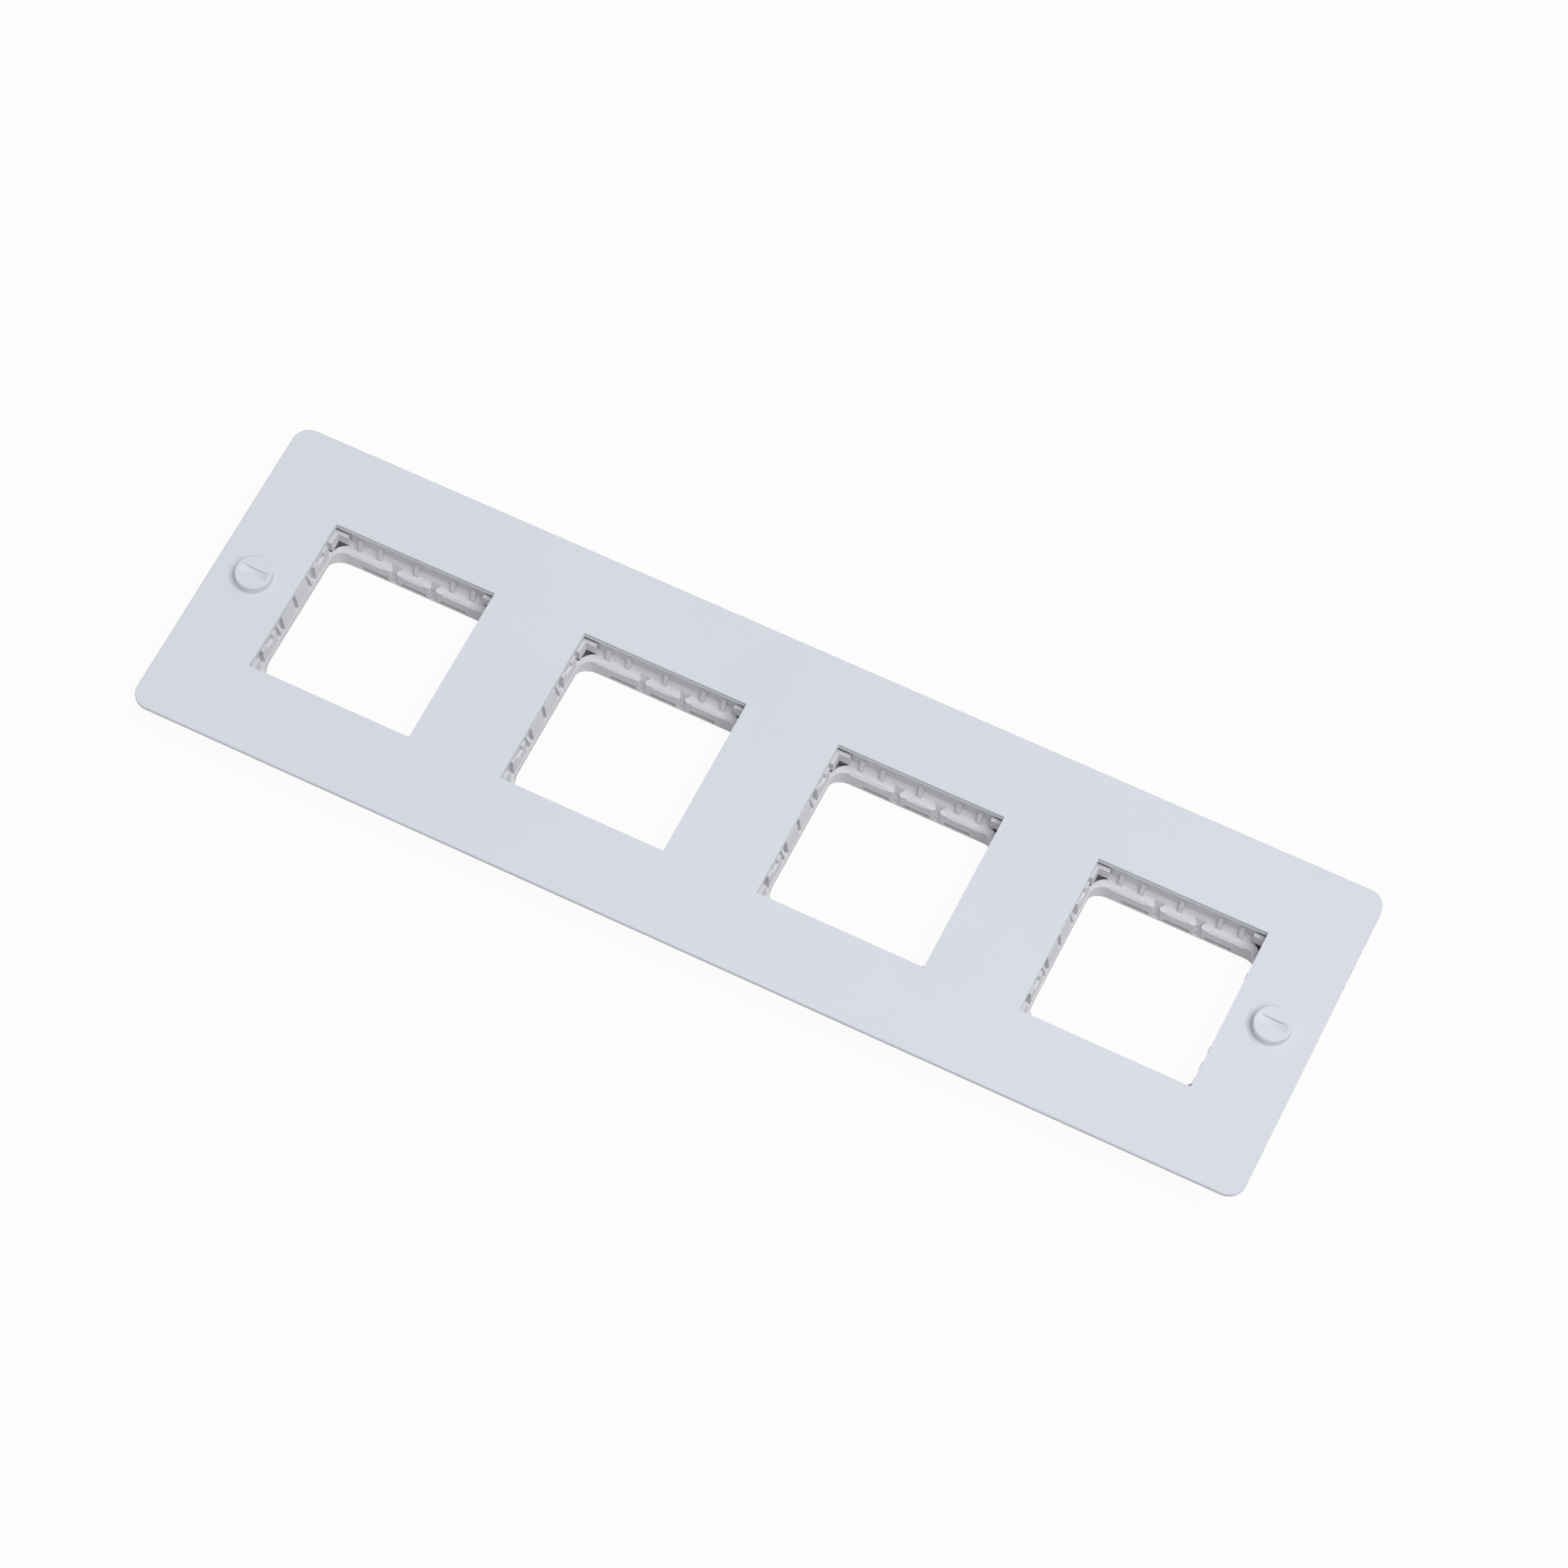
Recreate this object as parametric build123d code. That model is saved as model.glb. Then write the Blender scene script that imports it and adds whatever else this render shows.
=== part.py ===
"""Four-window wall plate for 45 mm square data modules.

A thin painted steel face plate has four square windows in a row. Behind each window sits a
moulded module frame, held on two studs that are welded to the back of the plate. A captive
coin-slotted screw at each end draws the plate onto its wall box.

X runs along the plate, Y across it, and Z out of its face. The origin is the centre of the
plate's back face, which is the face that meets the wall. Lengths are in millimetres.
"""
import os

from build123d import *

# Face plate
window_size = 45.4
window_pitch = 71.0
window_count = 4
end_margin = 22.3
side_margin = 21.8
plate_thickness = 1.3
plate_corner_radius = 4.5
plate_edge_break = 0.2

# Module frame: flange and collar, which stand on the back of the plate
flange_reach_x = 4.6
flange_thickness = 1.6
flange_corner_bevel = 3.0
lip_thickness = 0.55
lip_face_y = 0.1
collar_relief_x = 0.8
collar_relief_y = 0.7
collar_wall = 1.4

# Module frame: shelf that the module's bezel drops onto, and the rim below it
shelf_depth = 6.7
shelf_thickness = 1.4
shelf_root_bevel = 1.1
opening_step_x = 0.6
opening_step_y = 2.6
opening_corner_radius = 3.7
opening_edge_bevel = 0.7
rim_wall = 1.4
rim_depth = 12.4
side_rim_depth = 8.6
side_ramp_length = 4.5

# Module frame: corner blocks, and the dark pockets that open below them
block_top_depth = 2.0
block_foot_depth = 5.6
block_slit = 0.45
block_leg_x = 3.3
block_leg_y = 4.1
block_face_x = 0.5
block_face_y = 0.8
pocket_wall_x = 0.8
pocket_wall_y = 2.5
pocket_corner_radius = 5.2
pocket_floor_thickness = 0.7

# Module frame: gussets on the long shelves
gusset_width = 1.15
gusset_offsets = (-16.2, -10.45, 0.0, 10.45, 16.2)
gusset_top_depth = 3.0
gusset_top_reach = 0.45
gusset_reach = 1.6
gusset_foot_height = 0.7

# Module frame: funnel notches and catch slots that the module's hooks find
notch_offset = 5.6
notch_mouth_width = 3.1
notch_neck_width = 1.4
notch_reach = 2.3
notch_flare = 1.4
notch_sill_height = 2.6
notch_groove_depth = 0.5
notch_edge_bevel = 0.45
notch_back_wall = 1.2
slot_offset = 11.2
slot_width = 7.1
slot_height = 1.4
slot_bar = 0.5
catch_rail_wall = 0.9

# Module frame: pads, catch blocks, ribs and nicks on the short sides
side_top_depth = 0.8
pad_foot_face = 0.45
pad_lean = 0.4
pad_start = 0.65
pad_end = 6.3
pad_depth = 6.0
catch_block_start = 10.0
catch_block_end = 16.8
catch_face = 0.4
catch_step_centre = 13.2
catch_step_width = 3.0
catch_step_depth = 2.8
catch_step_recess = 0.6
side_rib_width = 0.9
side_rib_offsets = (-8.0, 8.0)
side_rib_top_depth = 1.2
side_rib_nose_depth = 5.0
nick_offset = 9.3
nick_width = 1.2
nick_height = 0.9
nick_depth = 0.5
nick_lip = 0.3

# Studs welded to the back of the plate, and the push-on nuts that hold the frames
stud_radius = 1.5
stud_length = 6.0
stud_slot_length = 5.0
stud_slot_clearance = 0.25
push_nut_length = 11.0
push_nut_width = 8.4
push_nut_thickness = 0.5
push_nut_margin = 0.4
push_nut_arch_length = 5.6
push_nut_arch_height = 0.7
push_nut_clearance = 0.02

# Captive coin screws: a full shoulder runs in the plate, and the washer sits on a thinner neck
head_radius = 4.85
head_height = 2.9
head_edge_break = 0.3
coin_slot_width = 2.1
coin_slot_depth = 0.8
coin_slot_length = 7.8
shank_radius = 2.0
shank_length = 9.8
shank_tip_chamfer = 0.6
shank_hole_clearance = 0.08
shoulder_stand_out = 0.3
neck_radius = 1.55
neck_length = 1.6
washer_radius = 4.2
washer_thickness = 1.0
washer_grip_clearance = 0.02

# Earth terminal: a welded stud with a toothed washer and a nut
earth_stud_radius = 2.0
earth_stud_length = 9.5
earth_washer_radius = 4.2
earth_washer_thickness = 0.8
earth_washer_teeth = 6
earth_tooth_depth = 0.9
earth_tooth_width = 1.3
earth_thread_clearance = 0.03
earth_nut_across_flats = 7.0
earth_nut_thickness = 3.2

# Sizes that follow from the values above
window_centres = [(index - (window_count - 1) / 2) * window_pitch for index in range(window_count)]
plate_length = (window_count - 1) * window_pitch + window_size + 2 * end_margin
plate_width = window_size + 2 * side_margin
screw_x = plate_length / 2 - end_margin / 2

half_window = window_size / 2
collar_x = half_window + collar_relief_x
collar_y = half_window + collar_relief_y
flange_half_x = half_window + flange_reach_x
pocket_floor_depth = rim_depth - pocket_floor_thickness
stud_y = collar_y + collar_wall + push_nut_margin + push_nut_width / 2
flange_half_y = stud_y + push_nut_width / 2 + push_nut_margin
opening_x = half_window - opening_step_x
opening_y = half_window - opening_step_y
rim_x = opening_x + rim_wall
rim_y = opening_y + rim_wall
rim_radius = opening_corner_radius + rim_wall
earth_x = window_pitch * (window_count / 2 - 1)


def slab(size_x, size_y, top, bottom):
    """Upright block centred on Z, between two heights."""
    return Pos(0, 0, bottom) * extrude(Rectangle(size_x, size_y), top - bottom)


def rounded_slab(size_x, size_y, radius, top, bottom):
    """As slab, with rounded upright corners."""
    return Pos(0, 0, bottom) * extrude(RectangleRounded(size_x, size_y, radius), top - bottom)


def block(low_x, high_x, low_y, high_y, bottom, top):
    """Block given by its two corners."""
    size = (high_x - low_x, high_y - low_y, top - bottom)
    return Pos(low_x, low_y, bottom) * Box(*size, align=(Align.MIN, Align.MIN, Align.MIN))


def disc(radius, bottom, top):
    """Round bar on the Z axis."""
    return Pos(0, 0, bottom) * Cylinder(radius, top - bottom, align=(Align.CENTER, Align.CENTER, Align.MIN))


def both_ways(shape, plane):
    """A shape together with its mirror image."""
    return shape + mirror(shape, about=plane)


def four_corners(shape):
    """A shape repeated at the four corners of a frame."""
    return both_ways(both_ways(shape, Plane.YZ), Plane.XZ)


def face_plate():
    """Sheet steel plate with its windows and screw holes."""
    plate = rounded_slab(plate_length, plate_width, plate_corner_radius, plate_thickness, 0)
    rim = plate.faces().sort_by(Axis.Z)[-1].edges()
    plate = chamfer(rim, min(plate_edge_break, 0.45 * plate_thickness))
    for x in window_centres:
        plate -= Pos(x, 0, 0) * slab(window_size, window_size, plate_thickness, 0)
    for x in (-screw_x, screw_x):
        plate -= Pos(x, 0, 0) * disc(shank_radius + shank_hole_clearance, 0, plate_thickness)
    return plate


def frame_well():
    """Shelf and rim: the rounded opening that a module's body passes through."""
    shelf_bottom = -shelf_depth - shelf_thickness
    well = rounded_slab(2 * rim_x, 2 * rim_y, rim_radius, -shelf_depth, -rim_depth)
    well += slab(2 * (collar_x + collar_wall), 2 * (collar_y + collar_wall), -shelf_depth, shelf_bottom)
    well += corner_posts()
    well -= rounded_slab(2 * opening_x, 2 * opening_y, opening_corner_radius, -shelf_depth, -rim_depth)
    return well - long_rim_bevels()


def long_rim_bevels():
    """Material taken off the upper edges of the long rims."""
    bevel = min(opening_edge_bevel, 0.45 * rim_wall)
    inner_y = opening_y - bevel
    with BuildSketch(Plane.YZ) as profile:
        with BuildLine():
            Polyline((inner_y, -shelf_depth), (opening_y + bevel, -shelf_depth),
                     (inner_y, -shelf_depth - 2 * bevel), close=True)
        make_face()
    return both_ways(extrude(profile.sketch, opening_x - opening_corner_radius, both=True), Plane.XZ)


def corner_posts():
    """Deep corners of the frame, which close the pockets from below."""
    bottom = -pocket_floor_depth - pocket_floor_thickness
    post = block(half_window - block_leg_x - collar_wall, collar_x + collar_wall,
                 half_window - block_leg_y - collar_wall, collar_y + collar_wall, bottom, -shelf_depth)
    return four_corners(post)


def corner_pockets():
    """Space between each corner of the collar and the rounded rim."""
    pocket = block(half_window - block_leg_x, collar_x, half_window - block_leg_y, collar_y,
                   -pocket_floor_depth, -shelf_depth)
    core = rounded_slab(2 * (opening_x + pocket_wall_x), 2 * (opening_y + pocket_wall_y),
                        pocket_corner_radius, -shelf_depth, -rim_depth)
    return four_corners(pocket) - core


def frame_collar():
    """Upright wall from the back of the plate down to the shelf."""
    wall = slab(2 * (collar_x + collar_wall), 2 * (collar_y + collar_wall), 0, -shelf_depth)
    cavity = slab(2 * collar_x, 2 * collar_y, 0, -shelf_depth)
    roots = cavity.faces().sort_by(Axis.Z)[0].edges().filter_by(Axis.X)
    cavity = chamfer(roots, shelf_root_bevel)
    flange = slab(2 * flange_half_x, 2 * flange_half_y, 0, -flange_thickness)
    flange = chamfer(flange.edges().filter_by(Axis.Z), flange_corner_bevel)
    lip = block(-collar_x, collar_x, half_window - lip_face_y, collar_y, -lip_thickness, 0)
    return wall + flange - cavity + both_ways(lip, Plane.XZ)


def corner_blocks():
    """L-shaped blocks that guide the corners of a module's bezel."""
    bottom = -block_foot_depth
    top = -block_top_depth
    back_y = collar_y - block_slit
    along_x = block(half_window - block_leg_x, collar_x, half_window - block_face_y, back_y, bottom, top)
    along_y = block(half_window - block_face_x, collar_x, half_window - block_leg_y, back_y, bottom, top)
    return four_corners(along_x + along_y)


def long_side_gussets():
    """Small sloping webs between the long walls and the shelf."""
    foot_y = collar_y - gusset_reach
    foot_z = -shelf_depth + gusset_foot_height
    with BuildSketch(Plane.YZ) as profile:
        with BuildLine():
            Polyline((collar_y, -gusset_top_depth), (collar_y - gusset_top_reach, -gusset_top_depth),
                     (foot_y, foot_z), (foot_y, -shelf_depth), (collar_y, -shelf_depth), close=True)
        make_face()
    web = extrude(profile.sketch, gusset_width / 2, both=True)
    webs = [Pos(x, 0, 0) * web for x in gusset_offsets]
    return both_ways(Compound(children=webs), Plane.XZ)


def notches():
    """Funnel notches: a sloping mouth in the shelf, a narrow slot below it, and a shallow groove."""
    back_y = opening_y + notch_reach
    neck_y = back_y - notch_flare
    front_y = opening_y - notch_edge_bevel
    mouth = notch_mouth_width / 2
    neck = notch_neck_width / 2
    foot = -rim_depth + slot_bar
    sill = -rim_depth + notch_sill_height
    with BuildSketch() as plan:
        with BuildLine():
            Polyline((-mouth, back_y), (mouth, back_y), (neck, neck_y), (-neck, neck_y), close=True)
        make_face()
    with BuildSketch(Plane.YZ) as slope:
        with BuildLine():
            Polyline((back_y, -shelf_depth), (back_y, sill), (neck_y, sill), close=True)
        make_face()
    funnel = Pos(0, 0, sill) * extrude(plan.sketch, -shelf_depth - sill)
    funnel -= extrude(slope.sketch, notch_mouth_width, both=True)
    slot = block(-neck, neck, front_y, neck_y, sill, -shelf_depth)
    groove = block(-neck, neck, front_y, opening_y + notch_groove_depth, foot, sill)
    with BuildSketch() as entry:
        with BuildLine():
            Polyline((-neck, opening_y + notch_edge_bevel), (neck, opening_y + notch_edge_bevel),
                     (neck + 2 * notch_edge_bevel, front_y), (-neck - 2 * notch_edge_bevel, front_y), close=True)
        make_face()
    bevels = Pos(0, 0, foot) * extrude(entry.sketch, -shelf_depth - foot)
    return four_corners(Pos(notch_offset, 0, 0) * (funnel + slot + groove + bevels))


def notch_pillars():
    """Thick stretches of the long rims that carry the notches."""
    half_width = notch_mouth_width / 2 + notch_back_wall
    pillar = block(notch_offset - half_width, notch_offset + half_width, opening_y,
                   opening_y + notch_reach + notch_back_wall, -rim_depth, -shelf_depth)
    return four_corners(pillar)


def three_catches(shape):
    """A shape repeated at the three catches of each long side."""
    shapes = [Pos(x, 0, 0) * shape for x in (-slot_offset, 0, slot_offset)]
    return both_ways(Compound(children=shapes), Plane.XZ)


def catch_rails():
    """Thick rails behind the long rims, which hold the catch slots."""
    half_length = slot_offset + slot_width / 2 + catch_rail_wall
    top = -rim_depth + slot_bar + slot_height + catch_rail_wall
    rail = block(-half_length, half_length, opening_y, collar_y + catch_rail_wall, -rim_depth, top)
    return both_ways(rail, Plane.XZ)


def catch_slots():
    """Slots in the long rims, where a module's hooks snap home."""
    bottom = -rim_depth + slot_bar
    return three_catches(block(-slot_width / 2, slot_width / 2, opening_y - slot_bar, collar_y,
                               bottom, bottom + slot_height))


def side_relief():
    """Material left off below the short rims, with a ramp up from each corner."""
    ramp_end = opening_y
    ramp_start = ramp_end - side_ramp_length
    deep = -rim_depth - 1
    with BuildSketch(Plane.YZ) as profile:
        with BuildLine():
            Polyline((-ramp_end, deep), (-ramp_end, -rim_depth), (-ramp_start, -side_rim_depth),
                     (ramp_start, -side_rim_depth), (ramp_end, -rim_depth), (ramp_end, deep), close=True)
        make_face()
    inner_x = opening_x - opening_corner_radius
    outer_x = collar_x + 2 * collar_wall
    relief = Pos(inner_x, 0, 0) * extrude(profile.sketch, outer_x - inner_x)
    return both_ways(relief, Plane.YZ)


def short_side_pads():
    """Leaning pads that guide a module's ends."""
    foot_x = half_window - pad_foot_face
    with BuildSketch(Plane.XZ) as profile:
        with BuildLine():
            Polyline((foot_x + pad_lean, -side_top_depth), (foot_x, -pad_depth), (collar_x, -pad_depth),
                     (collar_x, -side_top_depth), close=True)
        make_face()
    pad = extrude(profile.sketch, (pad_end - pad_start) / 2, both=True)
    return four_corners(Pos(0, (pad_start + pad_end) / 2, 0) * pad)


def catch_blocks():
    """Blocks on the short sides, each with a small step for a module's catch."""
    face_x = half_window - catch_face
    body = block(face_x, collar_x, catch_block_start, catch_block_end, -shelf_depth, -side_top_depth)
    step = block(face_x, face_x + catch_step_recess, catch_step_centre - catch_step_width / 2,
                 catch_step_centre + catch_step_width / 2, -catch_step_depth, -side_top_depth)
    return four_corners(body - step)


def short_side_ribs():
    """Upright ribs that stiffen the short sides."""
    face_x = half_window - catch_face
    with BuildSketch(Plane.XZ) as profile:
        with BuildLine():
            Polyline((face_x, -shelf_depth), (face_x, -side_rib_nose_depth), (collar_x, -side_rib_top_depth),
                     (collar_x, -shelf_depth), close=True)
        make_face()
    rib = extrude(profile.sketch, side_rib_width / 2, both=True)
    ribs = [Pos(0, y, 0) * rib for y in side_rib_offsets]
    return both_ways(Compound(children=ribs), Plane.YZ)


def nicks():
    """Shallow nicks in the faces of the short rims."""
    bottom = -side_rim_depth + nick_lip
    nick = block(opening_x - nick_depth, opening_x + nick_depth, nick_offset - nick_width / 2,
                 nick_offset + nick_width / 2, bottom, bottom + nick_height)
    return four_corners(nick)


def stud_places():
    """Places of the two studs beside one window."""
    return [(0, -stud_y), (0, stud_y)]


def module_frame():
    """One moulded frame, centred on its window."""
    frame = frame_well() + notch_pillars() + catch_rails() - corner_pockets()
    frame = frame - side_relief() - notches() - catch_slots() - nicks()
    frame = frame + frame_collar() + corner_blocks() + long_side_gussets()
    frame = frame + short_side_pads() + catch_blocks() + short_side_ribs()
    for x, y in stud_places():
        frame -= Pos(x, y, 0) * slab(stud_slot_length, 2 * (stud_radius + stud_slot_clearance), 0, -flange_thickness)
    return frame


def push_nut():
    """Flat spring nut with an arched middle that grips the stud."""
    bottom = -flange_thickness - push_nut_thickness
    nut = slab(push_nut_length, push_nut_width, -flange_thickness, bottom)
    with BuildSketch(Plane.XZ) as profile:
        with BuildLine():
            Polyline((-push_nut_arch_length / 2, bottom), (push_nut_arch_length / 2, bottom),
                     (push_nut_arch_length / 4, bottom - push_nut_arch_height),
                     (-push_nut_arch_length / 4, bottom - push_nut_arch_height), close=True)
        make_face()
    nut += extrude(profile.sketch, push_nut_width / 4, both=True)
    return nut - disc(stud_radius + push_nut_clearance, -stud_length, 0)


def coin_screw():
    """Screw with a drum head, which a coin turns."""
    top = plate_thickness + head_height
    head = disc(head_radius, plate_thickness, top)
    head = chamfer(head.faces().sort_by(Axis.Z)[-1].edges(), min(head_edge_break, 0.45 * head_height))
    cutter_radius = (coin_slot_length ** 2 / 4 + coin_slot_depth ** 2) / (2 * coin_slot_depth)
    cutter = Pos(0, 0, top - coin_slot_depth + cutter_radius) * Cylinder(
        cutter_radius, coin_slot_width, rotation=(90, 0, 0))
    shoulder = disc(shank_radius, -shoulder_stand_out, plate_thickness)
    neck = disc(neck_radius, -shoulder_stand_out - neck_length, -shoulder_stand_out)
    shank = disc(shank_radius, -shank_length, -shoulder_stand_out - neck_length)
    shank = chamfer(shank.faces().sort_by(Axis.Z)[0].edges(), min(shank_tip_chamfer, 0.45 * shank_radius))
    return head - cutter + shoulder + neck + shank


def retaining_washer():
    """Nylon washer that sits on the neck and keeps the screw in the plate."""
    top = -shoulder_stand_out - (neck_length - washer_thickness) / 2
    washer = disc(washer_radius, top - washer_thickness, top)
    return washer - disc(neck_radius + washer_grip_clearance, top - washer_thickness, top)


def earth_washer():
    """Toothed lock washer that bites through the paint on the back of the plate."""
    washer = disc(earth_washer_radius, -earth_washer_thickness, 0)
    gap = block(earth_washer_radius - earth_tooth_depth, earth_washer_radius + earth_tooth_depth,
                -earth_tooth_width / 2, earth_tooth_width / 2, -earth_washer_thickness, 0)
    for index in range(earth_washer_teeth):
        washer -= Rot(0, 0, 360 * index / earth_washer_teeth) * gap
    return washer - disc(earth_stud_radius + earth_thread_clearance, -earth_washer_thickness, 0)


def earth_nut():
    """Hexagon nut on the earth stud."""
    top = -earth_washer_thickness
    hexagon = RegularPolygon(earth_nut_across_flats / 2, 6, major_radius=False)
    nut = Pos(0, 0, top - earth_nut_thickness) * extrude(hexagon, earth_nut_thickness)
    return nut - disc(earth_stud_radius + earth_thread_clearance, top - earth_nut_thickness, top)


def group(shape, places):
    """Separate copies of one fastener, as one node."""
    return Compound(children=[Pos(x, y, 0) * shape for x, y in places])


def build():
    """All the nodes by name."""
    nodes = {"face_plate": face_plate()}
    frame = module_frame()
    stud = disc(stud_radius, -stud_length, 0)
    nut = push_nut()
    for number, x in enumerate(window_centres, start=1):
        places = [(x + place_x, place_y) for place_x, place_y in stud_places()]
        nodes[f"module_frame_{number}"] = Pos(x, 0, 0) * frame
        nodes[f"weld_studs_{number}"] = group(stud, places)
        nodes[f"push_nuts_{number}"] = group(nut, places)
    for side, x in (("left", -screw_x), ("right", screw_x)):
        nodes[f"coin_screw_{side}"] = Pos(x, 0, 0) * coin_screw()
        nodes[f"retaining_washer_{side}"] = Pos(x, 0, 0) * retaining_washer()
    nodes["earth_stud"] = Pos(earth_x, 0, 0) * disc(earth_stud_radius, -earth_stud_length, 0)
    nodes["earth_washer"] = Pos(earth_x, 0, 0) * earth_washer()
    nodes["earth_nut"] = Pos(earth_x, 0, 0) * earth_nut()
    return nodes


os.makedirs("parts", exist_ok=True)
for name, shape in build().items():
    export_step(shape, f"parts/{name}.step")
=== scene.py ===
"""Looks of a four-window steel wall plate for 45 mm modules, lying face up."""

import math

import bmesh
import bpy
from mathutils import Matrix, Vector


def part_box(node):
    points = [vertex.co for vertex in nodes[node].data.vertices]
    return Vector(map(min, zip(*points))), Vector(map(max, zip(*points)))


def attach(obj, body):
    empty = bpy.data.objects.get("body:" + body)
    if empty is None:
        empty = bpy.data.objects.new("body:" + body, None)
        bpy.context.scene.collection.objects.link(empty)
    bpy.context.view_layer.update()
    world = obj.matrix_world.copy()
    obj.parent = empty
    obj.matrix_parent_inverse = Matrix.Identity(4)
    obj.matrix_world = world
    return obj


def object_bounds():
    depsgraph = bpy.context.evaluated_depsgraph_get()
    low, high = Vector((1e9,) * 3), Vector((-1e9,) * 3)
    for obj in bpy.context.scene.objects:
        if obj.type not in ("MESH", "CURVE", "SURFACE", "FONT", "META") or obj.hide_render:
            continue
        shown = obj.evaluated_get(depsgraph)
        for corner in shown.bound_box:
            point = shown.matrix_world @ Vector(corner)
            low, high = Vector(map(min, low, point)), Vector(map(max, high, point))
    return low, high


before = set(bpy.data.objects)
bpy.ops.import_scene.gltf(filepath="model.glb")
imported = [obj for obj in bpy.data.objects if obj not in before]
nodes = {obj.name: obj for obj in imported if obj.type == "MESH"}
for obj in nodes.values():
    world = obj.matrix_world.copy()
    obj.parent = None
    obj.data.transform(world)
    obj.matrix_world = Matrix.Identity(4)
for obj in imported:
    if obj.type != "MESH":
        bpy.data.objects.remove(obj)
cad_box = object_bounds()

# Face plate: sheet steel, punched, welded, then powder coated all over in a satin cool white.
# The coat's shade and gloss drift a little over the sheet, and it has a very fine orange peel.
drift_and_grain = bpy.data.node_groups.new("drift_and_grain", "ShaderNodeTree")
takes = {"Place": "Vector", "Drift Scale": "Float", "Darkest": "Color", "Palest": "Color",
         "Smoothest": "Float", "Roughest": "Float", "Grain Scale": "Float"}
gives = {"Colour": "Color", "Roughness": "Float", "Grain": "Float"}
for sockets, direction in ((takes, "INPUT"), (gives, "OUTPUT")):
    for label, kind in sockets.items():
        drift_and_grain.interface.new_socket(label, in_out=direction, socket_type="NodeSocket" + kind)
given = drift_and_grain.nodes.new("NodeGroupInput")
result = drift_and_grain.nodes.new("NodeGroupOutput")
drift = drift_and_grain.nodes.new("ShaderNodeTexNoise")
drift.inputs["Detail"].default_value = 3.0
# The noise keeps near its middle, so that part of its range is spread over the whole drift.
spread = drift_and_grain.nodes.new("ShaderNodeMapRange")
spread.inputs["From Min"].default_value = 0.3
spread.inputs["From Max"].default_value = 0.7
shade = drift_and_grain.nodes.new("ShaderNodeMix")
shade.data_type = "RGBA"
gloss = drift_and_grain.nodes.new("ShaderNodeMapRange")
grain = drift_and_grain.nodes.new("ShaderNodeTexNoise")
grain.inputs["Detail"].default_value = 2.0
for source, target in ((given.outputs["Place"], drift.inputs["Vector"]),
                       (given.outputs["Drift Scale"], drift.inputs["Scale"]),
                       (drift.outputs["Fac"], spread.inputs["Value"]),
                       (spread.outputs["Result"], shade.inputs["Factor"]),
                       (given.outputs["Darkest"], shade.inputs["A"]),
                       (given.outputs["Palest"], shade.inputs["B"]),
                       (shade.outputs["Result"], result.inputs["Colour"]),
                       (spread.outputs["Result"], gloss.inputs["Value"]),
                       (given.outputs["Smoothest"], gloss.inputs["To Min"]),
                       (given.outputs["Roughest"], gloss.inputs["To Max"]),
                       (gloss.outputs["Result"], result.inputs["Roughness"]),
                       (given.outputs["Place"], grain.inputs["Vector"]),
                       (given.outputs["Grain Scale"], grain.inputs["Scale"]),
                       (grain.outputs["Fac"], result.inputs["Grain"])):
    drift_and_grain.links.new(source, target)


def finish(name, *, drift_scale, darkest, palest, smoothest, roughest,
           grain_scale, relief_strength, relief_depth):
    """Material of one finish: its values in the shared drift and grain, and the grain as fine relief."""
    made = bpy.data.materials.new(name)
    made.use_nodes = True
    tree = made.node_tree
    shader = tree.nodes["Principled BSDF"]
    where = tree.nodes.new("ShaderNodeTexCoord")
    skin = tree.nodes.new("ShaderNodeGroup")
    skin.name = "skin"
    skin.node_tree = drift_and_grain
    for label, value in (("Drift Scale", drift_scale), ("Darkest", darkest), ("Palest", palest),
                         ("Smoothest", smoothest), ("Roughest", roughest), ("Grain Scale", grain_scale)):
        skin.inputs[label].default_value = value
    relief = tree.nodes.new("ShaderNodeBump")
    relief.inputs["Strength"].default_value = relief_strength
    relief.inputs["Distance"].default_value = relief_depth
    tree.links.new(where.outputs["Object"], skin.inputs["Place"])
    tree.links.new(skin.outputs["Colour"], shader.inputs["Base Color"])
    tree.links.new(skin.outputs["Roughness"], shader.inputs["Roughness"])
    tree.links.new(skin.outputs["Grain"], relief.inputs["Height"])
    tree.links.new(relief.outputs["Normal"], shader.inputs["Normal"])
    return made


def dress(names, material):
    """Give the named nodes one material."""
    for name in names:
        mesh = nodes[name].data
        mesh.materials.clear()
        mesh.materials.append(material)


powder_coat = dict(drift_scale=14.0, darkest=(0.655, 0.677, 0.737, 1), palest=(0.671, 0.694, 0.756, 1),
                   smoothest=0.42, roughest=0.5, grain_scale=1100.0,
                   relief_strength=0.12, relief_depth=0.00005)
coat_specular = 0.4
paint = finish("satin_powder_coat", **powder_coat)
paint.node_tree.nodes["Principled BSDF"].inputs["Specular IOR Level"].default_value = coat_specular
dress(["face_plate"], paint)

# Module frames: one-piece mouldings in a pale, slightly cool plastic with a fine spark-eroded grain.
# Each is slipped over its two welded studs from behind, and its seat shows in the window.
windows = (1, 2, 3, 4)
spark_eroded = dict(drift_scale=60.0, smoothest=0.45, roughest=0.58, grain_scale=1500.0,
                    relief_strength=0.07, relief_depth=0.00003)
moulded = finish("pale_moulded_plastic", darkest=(0.67, 0.675, 0.70, 1), palest=(0.69, 0.695, 0.72, 1),
                 **spark_eroded)
dress([f"module_frame_{number}" for number in windows], moulded)

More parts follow.
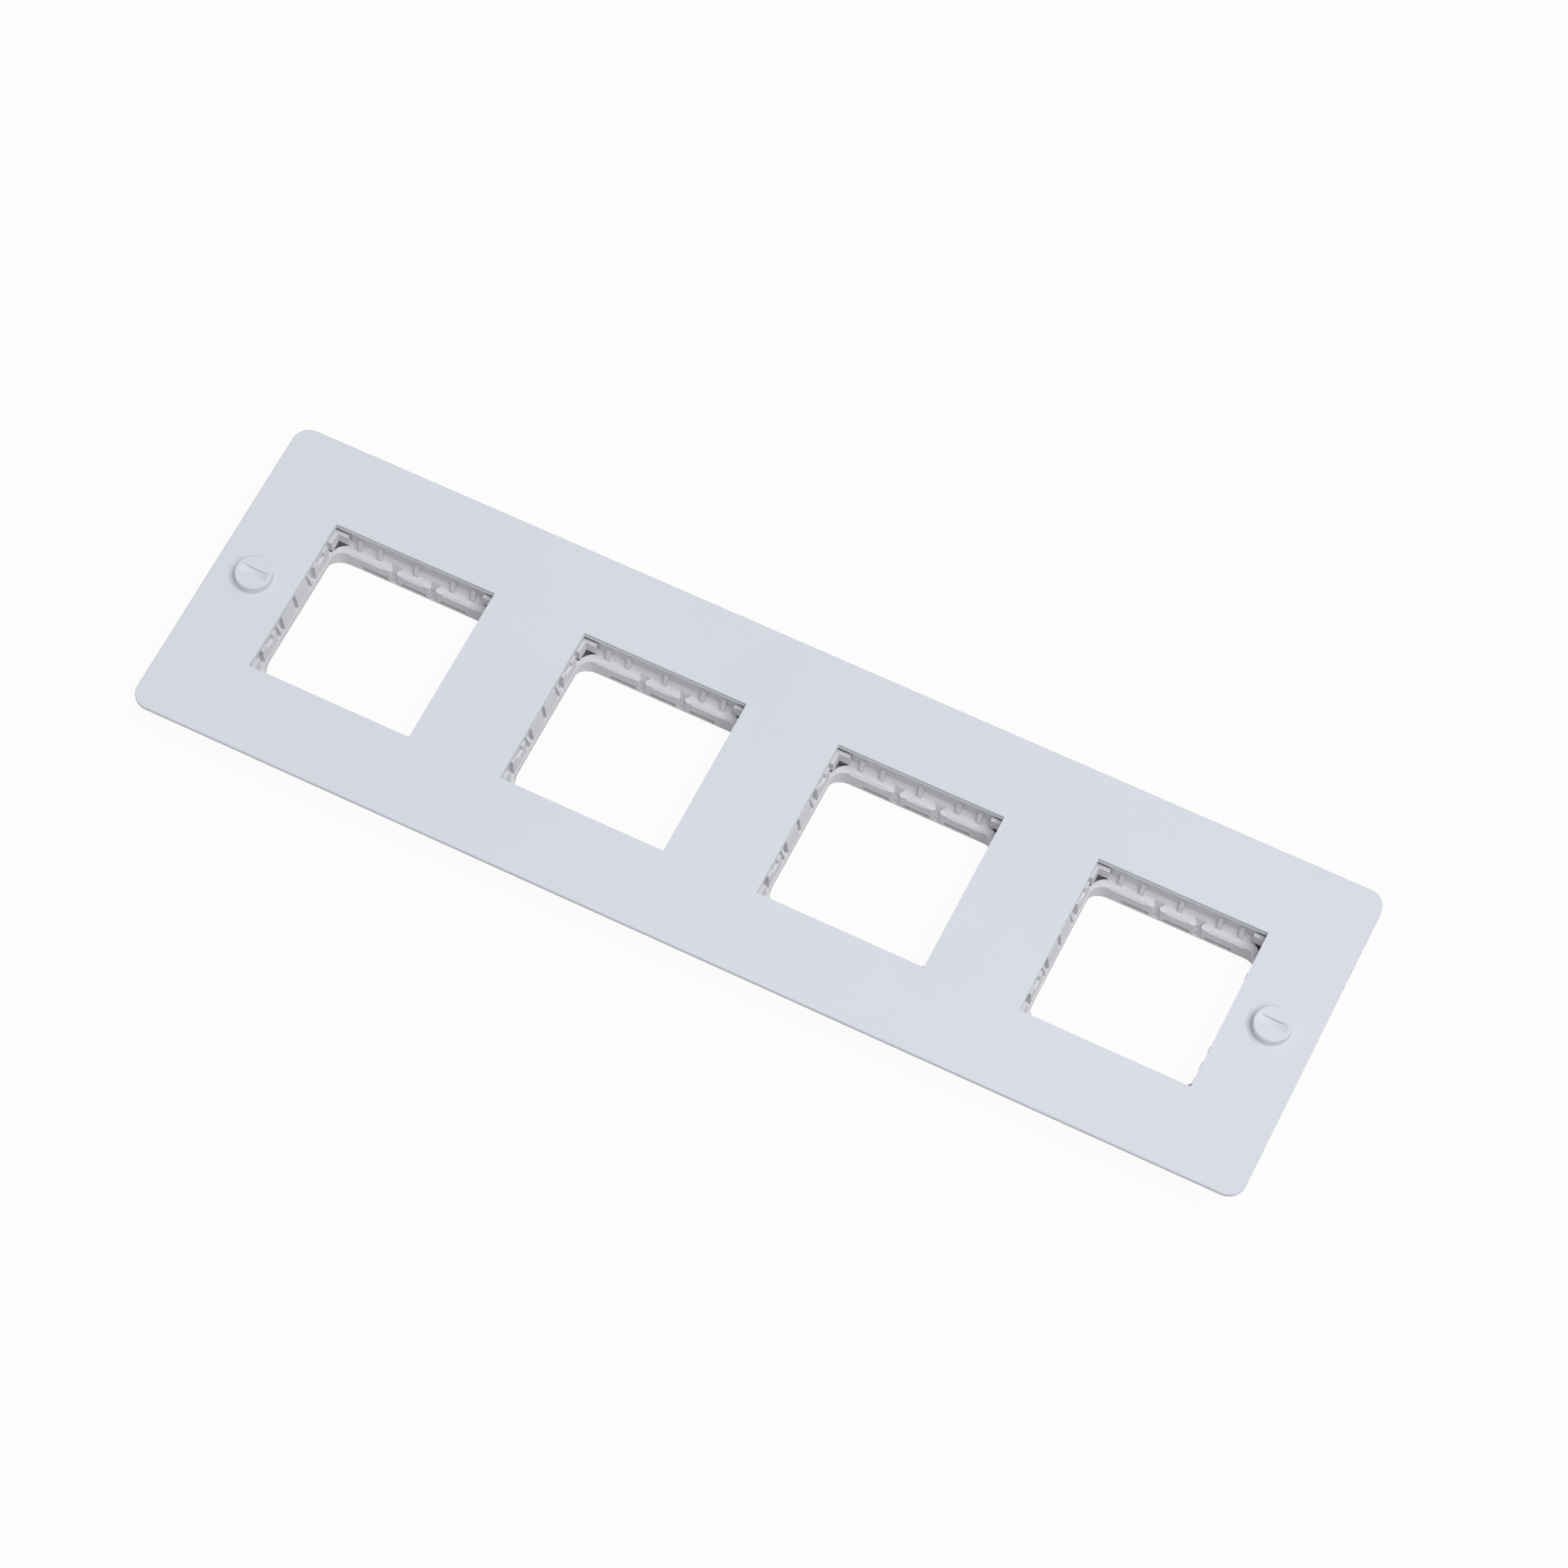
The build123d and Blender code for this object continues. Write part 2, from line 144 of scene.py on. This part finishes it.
# Studs and earth terminal: copper-flashed mild steel, zinc plated bright after welding.
# The plating is faintly mottled. The threads are rolled, M3 on the studs and M4 on the terminal.
zinc = finish("bright_zinc_plating", drift_scale=500.0, darkest=(0.46, 0.455, 0.44, 1),
              palest=(0.66, 0.65, 0.63, 1), smoothest=0.25, roughest=0.42, grain_scale=2500.0,
              relief_strength=0.08, relief_depth=0.00002)
zinc.node_tree.nodes["Principled BSDF"].inputs["Metallic"].default_value = 1.0
dress([f"weld_studs_{number}" for number in windows] + ["earth_stud", "earth_washer", "earth_nut"], zinc)

# Coarse threads: their pitch, and how far the ridge stands proud of the plain shank.
m3 = dict(pitch=0.0005, proud=0.00009)
m4 = dict(pitch=0.0007, proud=0.00012)
clear_of_nut = 0.0001


def thread(name, places, radius, top, bottom, *, pitch, proud):
    """Rolled thread on one or more shanks: a sharp ridge that winds down and runs out at both ends."""
    steps_in_turn = 24
    steps_in_run_out = steps_in_turn / 2
    sunk_root = 0.08 * pitch
    half_width = 0.45 * pitch
    width_left_at_end = 0.3
    # The ridge is half a pitch inside both ends of the shank, so its turns are squeezed a little.
    squeeze = (top - bottom) / (top - bottom + pitch)
    count = int((top - bottom) / pitch * steps_in_turn)
    made = bmesh.new()
    for x, y in places:
        rows = []
        for step in range(count + 1):
            angle = 2 * math.pi * step / steps_in_turn
            height = top - pitch * (0.5 + step / steps_in_turn) * squeeze
            fade = min(1.0, step / steps_in_run_out, (count - step) / steps_in_run_out)
            width = half_width * (width_left_at_end + (1 - width_left_at_end) * fade)
            row = []
            for out, rise in ((-sunk_root, width), (proud * fade, 0.0), (-sunk_root, -width)):
                reach = radius + out
                row.append(made.verts.new((x + reach * math.cos(angle), y + reach * math.sin(angle),
                                           height + rise)))
            rows.append(row)
        for first, second in zip(rows, rows[1:]):
            for corner in range(3):
                after = (corner + 1) % 3
                made.faces.new((first[corner], first[after], second[after], second[corner]))
        made.faces.new(rows[0][::-1])
        made.faces.new(rows[-1])
    bmesh.ops.recalc_face_normals(made, faces=made.faces)
    mesh = bpy.data.meshes.new(name)
    made.to_mesh(mesh)
    made.free()
    mesh.materials.append(zinc)
    piece = bpy.data.objects.new(name, mesh)
    bpy.context.collection.objects.link(piece)
    return piece


def middle(node):
    """Centre of a node in plan."""
    low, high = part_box(node)
    return (low[0] + high[0]) / 2, (low[1] + high[1]) / 2


for number in windows:
    # One node holds both studs of a frame, in a row across the plate.
    low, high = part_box(f"weld_studs_{number}")
    radius = (high[0] - low[0]) / 2
    x = middle(f"weld_studs_{number}")[0]
    nut_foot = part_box(f"push_nuts_{number}")[0][2]
    piece = thread(f"stud_threads_{number}", [(x, low[1] + radius), (x, high[1] - radius)], radius,
                   nut_foot - clear_of_nut, low[2], **m3)
    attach(piece, "plate")
low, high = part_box("earth_stud")
nut_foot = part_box("earth_nut")[0][2]
piece = thread("earth_stud_thread", [middle("earth_stud")], (high[0] - low[0]) / 2,
               nut_foot - clear_of_nut, low[2], **m4)
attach(piece, "plate")

# Push-on nuts: spring steel pressings with a grey phosphate finish, forced down the studs.
# They bear on the frame's flange and can't come back up the thread.
phosphate = finish("phosphated_spring_steel", drift_scale=3000.0, darkest=(0.09, 0.09, 0.095, 1),
                   palest=(0.17, 0.17, 0.175, 1), smoothest=0.4, roughest=0.62, grain_scale=4000.0,
                   relief_strength=0.15, relief_depth=0.00002)
phosphate.node_tree.nodes["Principled BSDF"].inputs["Metallic"].default_value = 0.85
dress([f"push_nuts_{number}" for number in windows], phosphate)

# Coin screws: turned steel. The heads were coated with the plate and match it.
# The shanks were masked, and keep the bar's bright zinc from the plate's back down.
coat_fades_over = 0.0002
bare_zinc = (0.60, 0.59, 0.57, 1)
zinc_smoother_by = 0.14
shank_radius = 0.002
gap_below_washer = 0.0004
chamfered_tip = 0.0006
screw_finish = finish("screw_coat_and_zinc", **powder_coat)
tree = screw_finish.node_tree
shader = tree.nodes["Principled BSDF"]
shader.inputs["Specular IOR Level"].default_value = coat_specular
skin = tree.nodes["skin"]
where = tree.nodes.new("ShaderNodeTexCoord")
parts = tree.nodes.new("ShaderNodeSeparateXYZ")
bare = tree.nodes.new("ShaderNodeMapRange")
bare.inputs["From Min"].default_value = coat_fades_over / 2
bare.inputs["From Max"].default_value = -coat_fades_over / 2
colour = tree.nodes.new("ShaderNodeMix")
colour.data_type = "RGBA"
colour.inputs["B"].default_value = bare_zinc
smoother = tree.nodes.new("ShaderNodeMapRange")
smoother.inputs["To Min"].default_value = 0.0
smoother.inputs["To Max"].default_value = -zinc_smoother_by
roughness = tree.nodes.new("ShaderNodeMath")
for source, target in ((where.outputs["Object"], parts.inputs["Vector"]),
                       (parts.outputs["Z"], bare.inputs["Value"]),
                       (bare.outputs["Result"], colour.inputs["Factor"]),
                       (skin.outputs["Colour"], colour.inputs["A"]),
                       (colour.outputs["Result"], shader.inputs["Base Color"]),
                       (bare.outputs["Result"], smoother.inputs["Value"]),
                       (skin.outputs["Roughness"], roughness.inputs[0]),
                       (smoother.outputs["Result"], roughness.inputs[1]),
                       (roughness.outputs["Value"], shader.inputs["Roughness"]),
                       (bare.outputs["Result"], shader.inputs["Metallic"])):
    tree.links.new(source, target)
dress(["coin_screw_left", "coin_screw_right"], screw_finish)
for side in ("left", "right"):
    washer_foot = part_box(f"retaining_washer_{side}")[0][2]
    screw_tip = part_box(f"coin_screw_{side}")[0][2]
    piece = thread(f"screw_thread_{side}", [middle(f"coin_screw_{side}")], shank_radius,
                   washer_foot - gap_below_washer, screw_tip + chamfered_tip, **m4)
    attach(piece, f"{side}_screw")

# Retaining washers: natural nylon, pushed up the thread so that the screws stay in the plate.
# The nylon is milky and slightly warm beside the paint.
nylon = finish("natural_nylon", darkest=(0.70, 0.68, 0.60, 1), palest=(0.76, 0.74, 0.66, 1),
               **spark_eroded)
dress(["retaining_washer_left", "retaining_washer_right"], nylon)

# Floor: a plain pale sweep. The camera, gloss and glass see it nearly white, with the shadow kept.
# It throws back a little over half of the light, so that the walls in the windows keep their shade.
floor_width = 4.0
just_under = 0.00005
share_of_white = 0.95


def background_rays(tree):
    """Socket that is 1 for rays from the camera and for rays in gloss and glass, and otherwise 0."""
    path = tree.nodes.new("ShaderNodeLightPath")
    so_far = path.outputs["Is Camera Ray"]
    for label in ("Is Glossy Ray", "Is Transmission Ray"):
        either = tree.nodes.new("ShaderNodeMath")
        either.operation = "ADD"
        either.use_clamp = True
        tree.links.new(so_far, either.inputs[0])
        tree.links.new(path.outputs[label], either.inputs[1])
        so_far = either.outputs["Value"]
    return so_far


bpy.ops.mesh.primitive_plane_add(size=floor_width, location=(0, 0, cad_box[0][2] - just_under))
floor = bpy.context.object
floor.name = "floor"
sweep = bpy.data.materials.new("pale_sweep")
sweep.use_nodes = True
tree = sweep.node_tree
shader = tree.nodes["Principled BSDF"]
shader.inputs["Base Color"].default_value = (0.58, 0.58, 0.58, 1)
shader.inputs["Roughness"].default_value = 0.9
shader.inputs["Specular IOR Level"].default_value = 0.0
glow = tree.nodes.new("ShaderNodeEmission")
most = tree.nodes.new("ShaderNodeMath")
most.operation = "MULTIPLY"
most.inputs[1].default_value = share_of_white
mix = tree.nodes.new("ShaderNodeMixShader")
tree.links.new(background_rays(tree), most.inputs[0])
tree.links.new(most.outputs["Value"], mix.inputs["Fac"])
tree.links.new(shader.outputs["BSDF"], mix.inputs[1])
tree.links.new(glow.outputs["Emission"], mix.inputs[2])
tree.links.new(mix.outputs["Shader"], tree.nodes["Material Output"].inputs["Surface"])
floor.data.materials.append(sweep)

# Studio: a white room for the camera, for gloss and for glass.
# The object itself gets an even, soft grey light from all of it.
white_room = 1.0
soft_fill = 0.42
world = bpy.data.worlds.new("studio")
bpy.context.scene.world = world
world.use_nodes = True
tree = world.node_tree
tree.nodes.clear()
out = tree.nodes.new("ShaderNodeOutputWorld")
mix = tree.nodes.new("ShaderNodeMixShader")
for place, strength in ((1, soft_fill), (2, white_room)):
    background = tree.nodes.new("ShaderNodeBackground")
    background.inputs["Color"].default_value = (1, 1, 1, 1)
    background.inputs["Strength"].default_value = strength
    tree.links.new(background.outputs["Background"], mix.inputs[place])
tree.links.new(background_rays(tree), mix.inputs["Fac"])
tree.links.new(mix.outputs["Shader"], out.inputs["Surface"])

# Key light: one large round soft box, high up on the right and a little to the front.
# It points at the middle of the plate.
key = bpy.data.objects.new("key_light", bpy.data.lights.new("key_light", "AREA"))
bpy.context.collection.objects.link(key)
key.data.shape = "DISK"
key.data.size = 2.5
key.data.energy = 87.0
key.location = (1.45, -0.3, 3.2)
key.rotation_euler = (-key.location).to_track_quat("-Z", "Y").to_euler()

# Camera: a long lens above the front right corner, as the photograph was taken.
# Its place and turn were solved from the corners of the windows and of the plate.
camera = bpy.data.objects.new("camera", bpy.data.cameras.new("camera"))
bpy.context.collection.objects.link(camera)
camera.data.sensor_width = 36.0
camera.data.lens = 118.95
camera.data.clip_start = 0.05
camera.data.clip_end = 20.0
stand = Vector((0.27470464, -0.50624294, 1.14098009))
right = Vector((0.89428311, 0.44739438, -0.00979758))
up = Vector((-0.39488337, 0.79924247, 0.45307681))
back = Vector((0.21053465, -0.40131003, 0.89141764))
camera.matrix_world = Matrix.Translation(stand) @ Matrix((right, up, back)).transposed().to_4x4()
bpy.context.scene.camera = camera
bpy.context.scene.view_settings.view_transform = "Standard"
